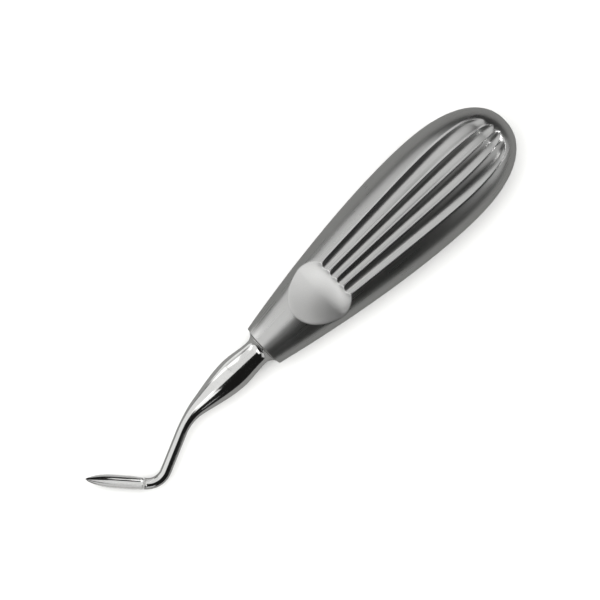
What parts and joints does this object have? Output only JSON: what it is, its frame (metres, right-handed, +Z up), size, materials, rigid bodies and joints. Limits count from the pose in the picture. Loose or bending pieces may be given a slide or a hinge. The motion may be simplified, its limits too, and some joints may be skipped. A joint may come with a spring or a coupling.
{
  "type": "root elevator",
  "caption": "Hand-held root elevator: hollow pear-shaped steel handle with thumb rest and flutes, and a bent shank ending in a half-round gouge blade.",
  "frame": {"origin": "on the surface that the tool lies on, under the middle of its box", "axes": "+X along the tool, from the blade to the butt; +Z up, the way the flutes and the thumb rest face at rest; +Y the side that the gouge opens to"},
  "size_m": [0.145, 0.0276, 0.0198],
  "materials": {
    "satin_steel": "satin polished stainless steel, with the thumb rest bead blasted",
    "polished_steel": "mirror polished stainless steel"
  },
  "bodies": {
    "root": {"handle": "satin_steel", "blade_shank": "polished_steel"}
  },
  "joints": []
}
